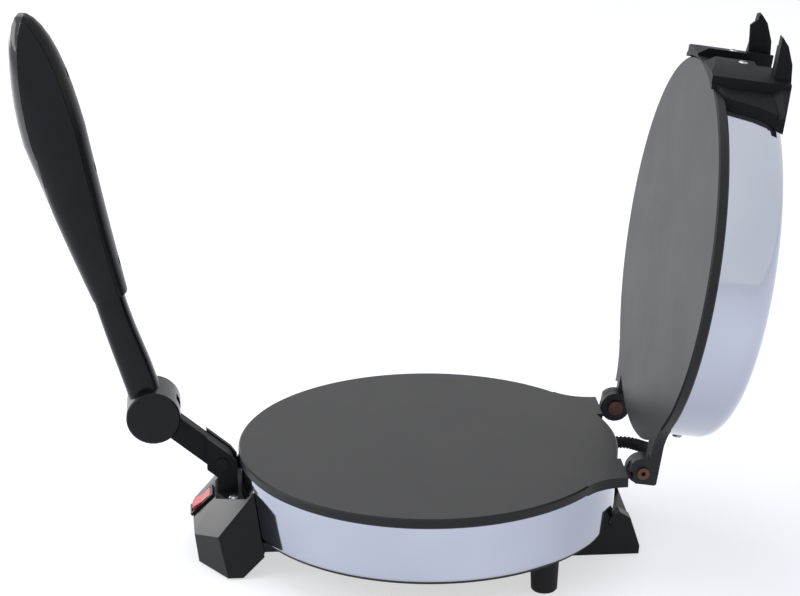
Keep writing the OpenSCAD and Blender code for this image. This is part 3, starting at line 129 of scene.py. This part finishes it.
def chromed_steel():
    # Deep-drawn steel sheet, polished and chrome plated: a bluish mirror with the faint long waves
    # of the drawing and hair-fine wiping marks.
    finish, tree, shader = new_finish("chromed_steel", Metallic=1.0)
    wave = object_pattern(tree, "ShaderNodeTexNoise", 60, 1.0)
    wipe = object_pattern(tree, "ShaderNodeTexNoise", 9, 6.0)
    tone = put(tree, "ShaderNodeValToRGB", *two_tones(wave, "#B2B7C5", "#BCC1CE"))
    skin(tree, shader, tone.outputs["Color"], wipe, (0.045, 0.1), (wave, 0.25, 0.08))
    return finish


def grained_phenolic(name, dark, light, rough_low, rough_high, shine=0.22):
    # Compression-moulded phenolic: near-black with a blue cast, a satin skin whose very fine grain
    # takes off part of the shine, and slightly duller patches where it is handled.
    finish, tree, shader = new_finish(name, IOR=1.5, Specular_IOR_Level=shine)
    cloud = object_pattern(tree, "ShaderNodeTexNoise", 25, 3.0)
    grain = object_pattern(tree, "ShaderNodeTexNoise", 0.5, 3.0)
    tone = put(tree, "ShaderNodeValToRGB", *two_tones(cloud, dark, light))
    skin(tree, shader, tone.outputs["Color"], cloud, (rough_low, rough_high), (grain, 0.3, 0.02))
    return finish


def glossy_moulding():
    # Polished tool surface on the grip's outer cap: piano black with a clear gloss.
    finish, tree, shader = new_finish("glossy_abs", Coat_Weight=0.6, Coat_Roughness=0.04, IOR=1.53)
    cloud = object_pattern(tree, "ShaderNodeTexNoise", 30, 2.0)
    tone = put(tree, "ShaderNodeValToRGB", *two_tones(cloud, "#0b0c10", "#101116"))
    skin(tree, shader, tone.outputs["Color"], cloud, (0.1, 0.16))
    return finish


def plated_metal(name, dark, light, roughness):
    # Turned and stamped fasteners with a thin plating: soft shine, with a fine brushed grain.
    finish, tree, shader = new_finish(name, Metallic=1.0)
    grain = object_pattern(tree, "ShaderNodeTexNoise", 1.2, 4.0)
    tone = put(tree, "ShaderNodeValToRGB", *two_tones(grain, dark, light))
    skin(tree, shader, tone.outputs["Color"], grain, (roughness - 0.08, roughness + 0.08))
    return finish


def matt_solid(name, dark, light, roughness, grain_mm, relief_mm, ior=1.5):
    # Rubber, fibre board, nylon and painted sheet: a mottled tone, a dull face and its own grain.
    finish, tree, shader = new_finish(name, IOR=ior)
    grain = object_pattern(tree, "ShaderNodeTexNoise", grain_mm, 4.0)
    tone = put(tree, "ShaderNodeValToRGB", *two_tones(grain, dark, light))
    skin(tree, shader, tone.outputs["Color"], grain, (roughness - 0.07, roughness + 0.07),
         (grain, 0.5, relief_mm))
    return finish


def red_rocker():
    # Translucent red polycarbonate over a lamp well: deep red with a bright clear gloss.
    finish, tree, shader = new_finish("red_polycarbonate", IOR=1.58, Coat_Weight=0.5, Coat_Roughness=0.05,
                                      Subsurface_Weight=0.15, Subsurface_Scale=0.002)
    cloud = object_pattern(tree, "ShaderNodeTexNoise", 6, 2.0)
    tone = put(tree, "ShaderNodeValToRGB", *two_tones(cloud, "#D01420", "#E8202C"))
    skin(tree, shader, tone.outputs["Color"], cloud, (0.16, 0.24))
    return finish


FINISHES = {
    "cast_plate": coated_cast_aluminium(),
    "chrome": chromed_steel(),
    "black_moulding": grained_phenolic("grained_phenolic", "#0e0f12", "#15161a", 0.27, 0.37),
    "gloss_cap": glossy_moulding(),
    "black_cover": matt_solid("black_stoved_paint", "#131313", "#1b1b1b", 0.5, 2.0, 0.02),
    "steel": plated_metal("zinc_plated_steel", "#8f9194", "#b4b6b9", 0.34),
    "black_oxide": plated_metal("blackened_steel", "#1b1b1d", "#2a2a2c", 0.42),
    "rivet": plated_metal("coppered_rivet_steel", "#4c3c35", "#6d5243", 0.4),
    "rubber": matt_solid("black_rubber", "#0c0c0d", "#141415", 0.72, 1.5, 0.03, 1.4),
    "heater": plated_metal("heat_stained_tube", "#4d443c", "#6e6257", 0.5),
    "mica": matt_solid("pressed_insulation_board", "#bdb6a4", "#d3ccba", 0.85, 3.0, 0.08),
    "shield": plated_metal("aluminised_sheet", "#a9abad", "#c6c8ca", 0.3),
    "nylon": matt_solid("natural_nylon", "#d6d3c6", "#e4e1d5", 0.45, 4.0, 0.02, 1.53),
    "switch_black": grained_phenolic("switch_body_nylon", "#0b0b0d", "#111114", 0.28, 0.38),
    "rocker_red": red_rocker(),
}

TEXTURED = grained_phenolic("textured_phenolic", "#0f1014", "#16171b", 0.48, 0.6, 0.17)
GRIP = grained_phenolic("polished_phenolic_grip", "#0f1116", "#15181f", 0.2, 0.28)
OWN_FINISH = {"handle_body": GRIP, "lid_bracket": TEXTURED, "lever_bracket": TEXTURED,
              "lever_strap": TEXTURED}

for part in frame["record"]["subparts"]:
    piece = nodes[part["node"]]
    piece.data.materials.clear()
    piece.data.materials.append(OWN_FINISH.get(part["node"], FINISHES[part["material_slot"]]))


def crease_group():
    """Welds the tessellated faces and shades smooth where they meet at under the crease angle."""
    group = bpy.data.node_groups.new("welded_creases", "GeometryNodeTree")
    group.interface.new_socket("Geometry", in_out="INPUT", socket_type="NodeSocketGeometry")
    group.interface.new_socket("Geometry", in_out="OUTPUT", socket_type="NodeSocketGeometry")
    given = put(group, "NodeGroupInput")
    weld = put(group, "GeometryNodeMergeByDistance", {"Distance": 0.004 * MM},
               {"Geometry": given.outputs["Geometry"]})
    faces = put(group, "GeometryNodeSetShadeSmooth", {"domain": "FACE", "Shade Smooth": True},
                {"Geometry": weld.outputs["Geometry"]})
    angle = put(group, "GeometryNodeInputMeshEdgeAngle")
    soft = put(group, "FunctionNodeCompare",
               {"data_type": "FLOAT", "operation": "LESS_THAN", "B": CREASE_ANGLE},
               {"A": angle.outputs["Unsigned Angle"]})
    edges = put(group, "GeometryNodeSetShadeSmooth", {"domain": "EDGE"},
                {"Geometry": faces.outputs["Geometry"], "Shade Smooth": soft.outputs["Result"]})
    put(group, "NodeGroupOutput", links={"Geometry": edges.outputs["Geometry"]})
    return group


CREASES = crease_group()


def dress(piece, edge_mm=0.0):
    """Smooth shading over round faces and, where asked, a small rounding along the sharp edges."""
    mesh = piece.data
    if "custom_normal" in mesh.attributes:
        mesh.attributes.remove(mesh.attributes["custom_normal"])
    mesh.shade_smooth()
    weld = piece.modifiers.new("creases", "NODES")
    weld.node_group = CREASES
    if edge_mm:
        edge = piece.modifiers.new("edge_rounding", "BEVEL")
        edge.width = edge_mm * MM
        edge.segments = 2
        edge.limit_method = "ANGLE"
        edge.angle_limit = CREASE_ANGLE
        edge.harden_normals = True


# Roundings of the moulded and cast edges, in millimetres
EDGE_ROUNDING = {"front_housing": 1.2, "lid_bracket": 0.5, "lever_bracket": 0.35,
                 "rear_foot": 0.6, "lower_plate": 0.2, "upper_plate": 0.2, "boss_caps": 0.25}
for name, piece in nodes.items():
    dress(piece, EDGE_ROUNDING.get(name, 0.0))


def add_mesh(name, points, faces, finish):
    """A mesh object with one material, linked to the scene."""
    mesh = bpy.data.meshes.new(name)
    mesh.from_pydata(points, [], faces)
    mesh.update()
    mesh.materials.append(finish)
    thing = bpy.data.objects.new(name, mesh)
    bpy.context.scene.collection.objects.link(thing)
    return thing


def conduit_route():
    """Points along the solid conduit: out of the base's rear wall, round, and into the lid's."""
    base_end = Vector((-17.768, 105.822, -12.4)) * MM
    base_dir = Vector((-0.1656, 0.9862, 0.0))
    lid_end = Vector((4.933, 135.537, 9.925)) * MM
    lid_dir = Vector((0.0475, -0.1556, -0.9867))
    sleeve_places = (0, 1.2, 3.2, 5.3)
    sleeve, bend_arm, bend_steps = 7.4 * MM, 18 * MM, 24
    start = base_end + base_dir * sleeve
    stop = lid_end + lid_dir * sleeve
    route = [base_end + base_dir * d * MM for d in sleeve_places]
    for i in range(bend_steps + 1):
        t = i / bend_steps
        s = 1 - t
        route.append(start * s ** 3 + (start + base_dir * bend_arm) * 3 * s * s * t
                     + (stop + lid_dir * bend_arm) * 3 * s * t * t + stop * t ** 3)
    route += [lid_end + lid_dir * d * MM for d in reversed(sleeve_places)]
    return np.array([list(p) for p in route])


def ribbed_conduit():
    """The ribbed rubber conduit between the base's and the lid's rear walls, plain at both ends."""
    path = conduit_route()
    run = np.concatenate([[0], np.cumsum(np.linalg.norm(np.diff(path, axis=0), axis=1))])
    length = run[-1]
    ribs, steps_per_rib, around = 24, 8, 40
    core_mm, rib_mm, diameter_mm = 3.0, 0.66, 7.32
    plain, fade_in, look = 3.2 * MM, 1.2 * MM, 1 * MM

    def point_at(place):
        return Vector([np.interp(place, run, path[:, axis]) for axis in range(3)])

    rings, side = [], Vector((0, 0, 1))
    for place in np.linspace(0, length, ribs * steps_per_rib + 1):
        here = point_at(place)
        along = (point_at(min(place + look, length)) - point_at(max(place - look, 0))).normalized()
        side = (side - along * side.dot(along)).normalized()
        other = along.cross(side)
        ribbed = min(max((min(place, length - place) - plain) / fade_in, 0), 1)
        wave = 0.5 - 0.5 * math.cos(2 * math.pi * ribs * (place - plain) / (length - 2 * plain))
        radius = (core_mm + rib_mm * ribbed * wave ** 0.6) * MM
        rings.append([here + (side * math.cos(a) + other * math.sin(a)) * radius
                      for a in np.linspace(0, 2 * math.pi, around, endpoint=False)])
    points = [p for ring in rings for p in ring]
    last = (len(rings) - 1) * around
    faces = []
    for ring in range(0, last, around):
        for a in range(around):
            b = (a + 1) % around
            faces.append((ring + a, ring + b, ring + around + b, ring + around + a))
    faces += [tuple(range(around))[::-1], tuple(last + a for a in range(around))]
    conduit = add_mesh("ribbed_conduit", points, faces, FINISHES["rubber"])
    conduit.data.shade_smooth()
    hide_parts("cable_conduit")
    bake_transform(conduit)


ribbed_conduit()


def background_rays(tree):
    """1 for camera, glossy and transmission rays, so that metal shows the same background."""
    ray = put(tree, "ShaderNodeLightPath")
    polish = put(tree, "ShaderNodeMath", {"operation": "MAXIMUM"},
                 {0: ray.outputs["Is Glossy Ray"], 1: ray.outputs["Is Transmission Ray"]})
    seen = put(tree, "ShaderNodeMath", {"operation": "MAXIMUM"},
               {0: ray.outputs["Is Camera Ray"], 1: polish.outputs[0]})
    return seen.outputs[0]


def build_floor():
    """A plain pale floor; the camera sees it as white, and it keeps the object's shadow."""
    finish, tree, shader = new_finish("pale_floor", Roughness=0.9, Specular_IOR_Level=0.0)
    shader.inputs["Base Color"].default_value = to_linear("#C2C4CA")
    glow = put(tree, "ShaderNodeEmission", {"Color": to_linear("#FFFFFF"), "Strength": 0.6})
    both = put(tree, "ShaderNodeAddShader", links={0: shader.outputs[0], 1: glow.outputs[0]})
    pick = put(tree, "ShaderNodeMixShader",
               links={0: background_rays(tree), 1: shader.outputs[0], 2: both.outputs[0]})
    tree.links.new(pick.outputs[0], tree.nodes["Material Output"].inputs["Surface"])
    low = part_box("front_pads")[0].z
    half = 6.0
    corners = [(-half, -half, low), (half, -half, low), (half, half, low), (-half, half, low)]
    add_mesh("floor", corners, [(0, 1, 2, 3)], finish)


def build_surround():
    """A plain white surround, which lights the object at a lower level than it is seen at."""
    world = bpy.data.worlds.new("studio_surround")
    bpy.context.scene.world = world
    world.use_nodes = True
    tree = world.node_tree
    tree.nodes.clear()
    lit = put(tree, "ShaderNodeBackground", {"Color": to_linear("#F2F4FF"), "Strength": 0.55})
    shown = put(tree, "ShaderNodeBackground", {"Color": to_linear("#FFFFFF"), "Strength": 1.0})
    pick = put(tree, "ShaderNodeMixShader",
               links={0: background_rays(tree), 1: lit.outputs[0], 2: shown.outputs[0]})
    put(tree, "ShaderNodeOutputWorld", links={"Surface": pick.outputs[0]})


def turn_to(holder, place, aim):
    """Puts a lamp or camera at a place, turned to its aim."""
    holder.location = place
    holder.rotation_euler = (Vector(aim) - Vector(place)).to_track_quat("-Z", "Y").to_euler()
    bpy.context.scene.collection.objects.link(holder)


def area_lamp(name, place, aim, size, power):
    """A soft box lamp at a place, turned to its aim."""
    lamp = bpy.data.lights.new(name, "AREA")
    lamp.shape = "RECTANGLE"
    lamp.size, lamp.size_y = size
    lamp.energy = power
    turn_to(bpy.data.objects.new(name, lamp), place, aim)


build_floor()
build_surround()
area_lamp("overhead_softbox", (-0.5, -0.3, 1.5), (0, 0, 0), (1.4, 1.4), 9)
area_lamp("back_left_softbox", (-0.94, -1.08, 0.39), (0, -0.1, 0), (0.9, 0.7), 7)
area_lamp("left_softbox", (0.1, -1.6, 0.7), (0, 0, 0.1), (1.0, 1.0), 8)


def place_camera():
    """The photograph's view: az 85.44, el 19.55, from 1.479 m."""
    data = bpy.data.cameras.new("camera")
    data.sensor_width = 36
    data.lens = 116.98
    data.clip_end = 30
    camera = bpy.data.objects.new("camera", data)
    turn_to(camera, (1.3894, -0.1272, 0.5837), (0, -0.01638, 0.08877))
    bpy.context.scene.camera = camera


place_camera()
bpy.context.scene.view_settings.view_transform = "Standard"
